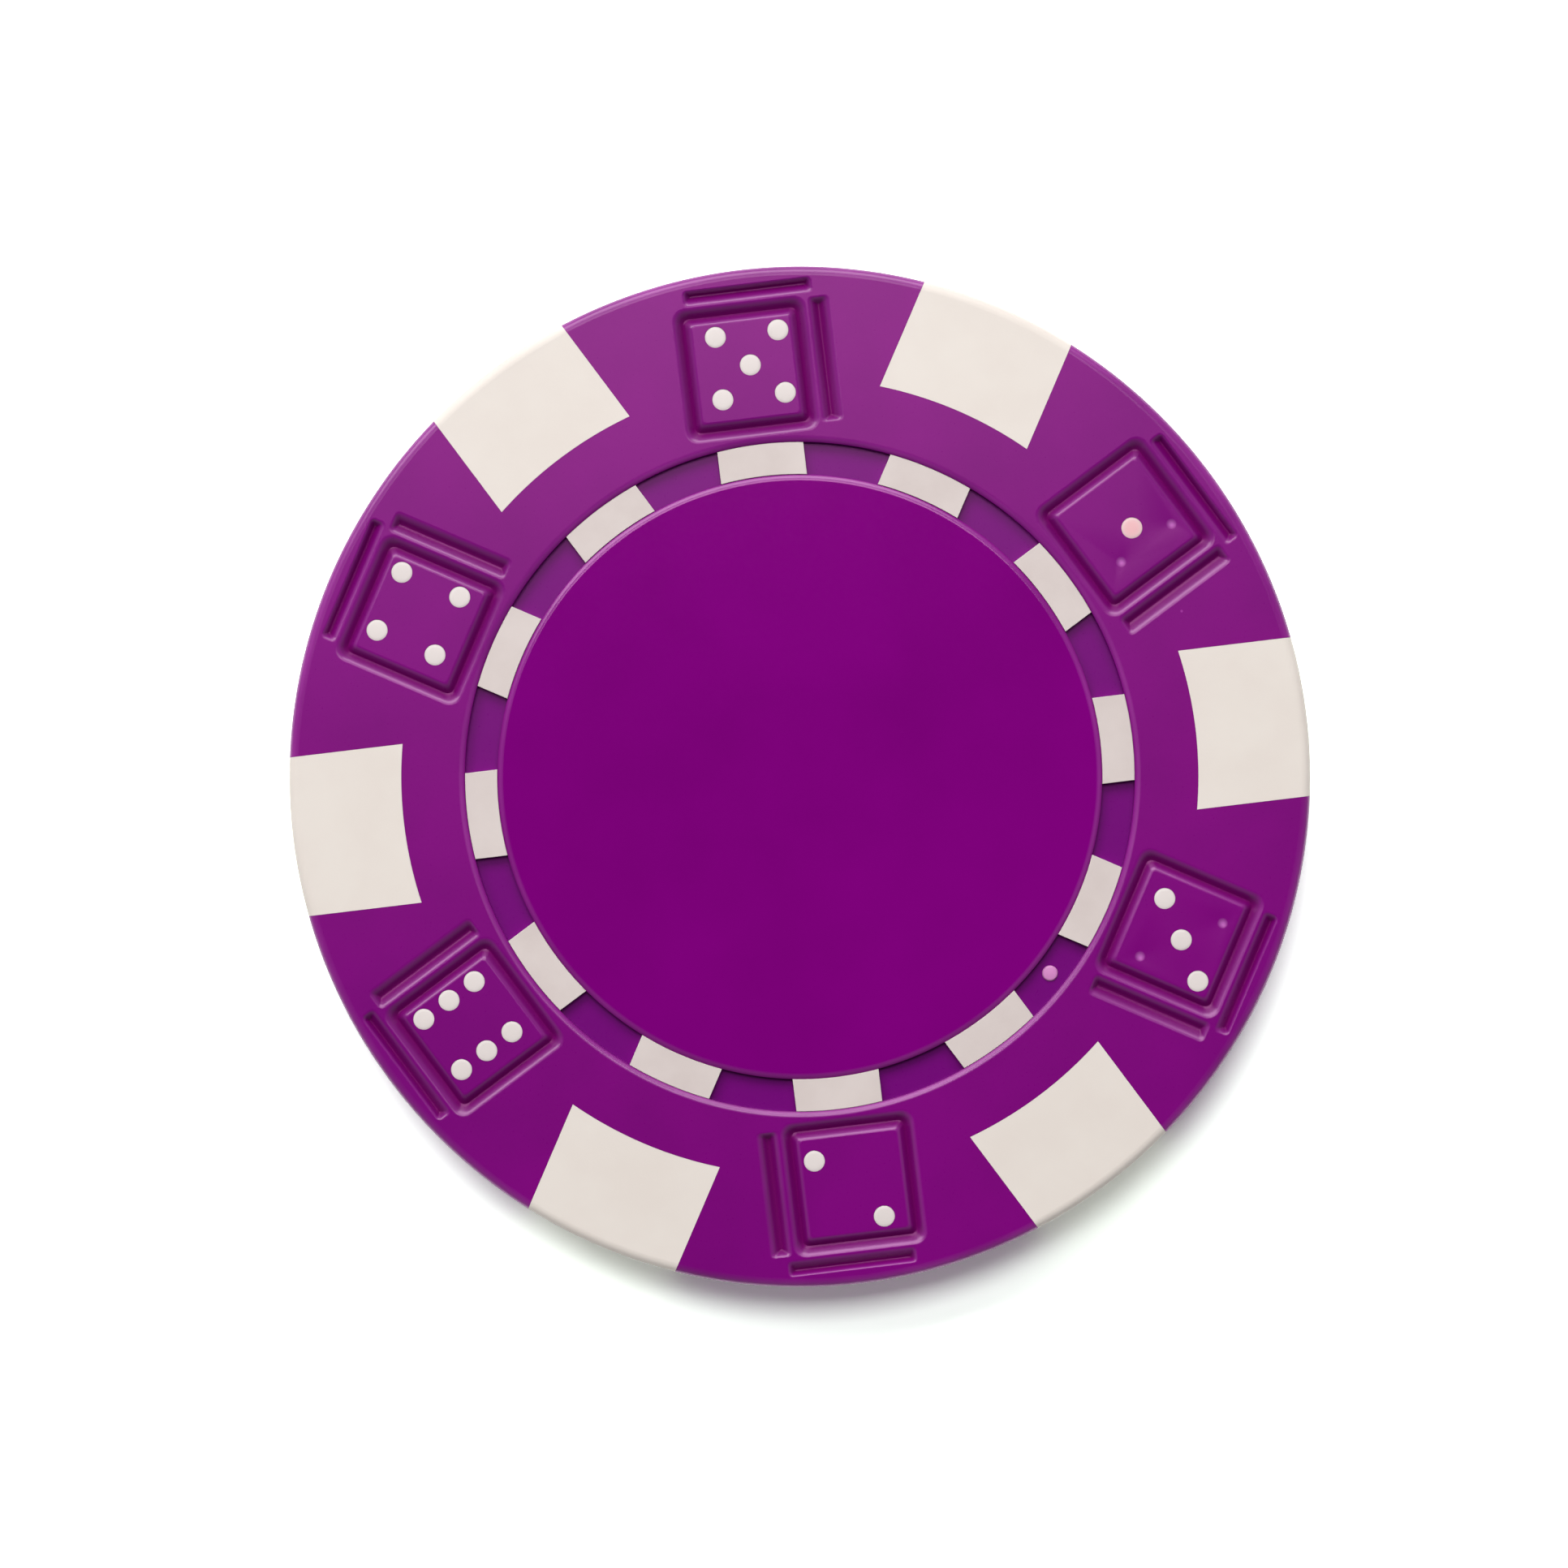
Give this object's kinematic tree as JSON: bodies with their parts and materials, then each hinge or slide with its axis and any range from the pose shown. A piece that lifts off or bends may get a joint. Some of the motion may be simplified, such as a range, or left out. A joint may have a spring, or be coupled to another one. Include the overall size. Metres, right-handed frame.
{
  "type": "poker chip",
  "caption": "Round weighted poker chip with dice moulded round its rim, white edge spots, a ring of white blocks and a plain centre disc.",
  "frame": {"origin": "centre of the lower face, where the chip lies on a table", "axes": "+Z out of the upper face, +Y towards the die that shows five on the upper face"},
  "size_m": [0.039, 0.039, 0.0033],
  "materials": {
    "purple_body": "satin moulded plastic",
    "purple_disc": "smooth moulded plastic",
    "white_insert": "satin moulded plastic, warm white",
    "slug_steel": "stamped, sealed inside"
  },
  "bodies": {
    "root": {"body_upper": "purple_body", "body_lower": "purple_body", "steel_slug": "slug_steel", "ring_insert_upper": "white_insert", "ring_insert_lower": "white_insert", "centre_disc_upper": "purple_disc", "centre_disc_lower": "purple_disc", "edge_insert_1": "white_insert", "edge_insert_2": "white_insert", "edge_insert_3": "white_insert", "edge_insert_4": "white_insert", "edge_insert_5": "white_insert", "edge_insert_6": "white_insert", "die_insert_1": "white_insert", "die_insert_2": "white_insert", "die_insert_3": "white_insert", "die_insert_4": "white_insert", "die_insert_5": "white_insert", "die_insert_6": "white_insert"}
  },
  "joints": []
}
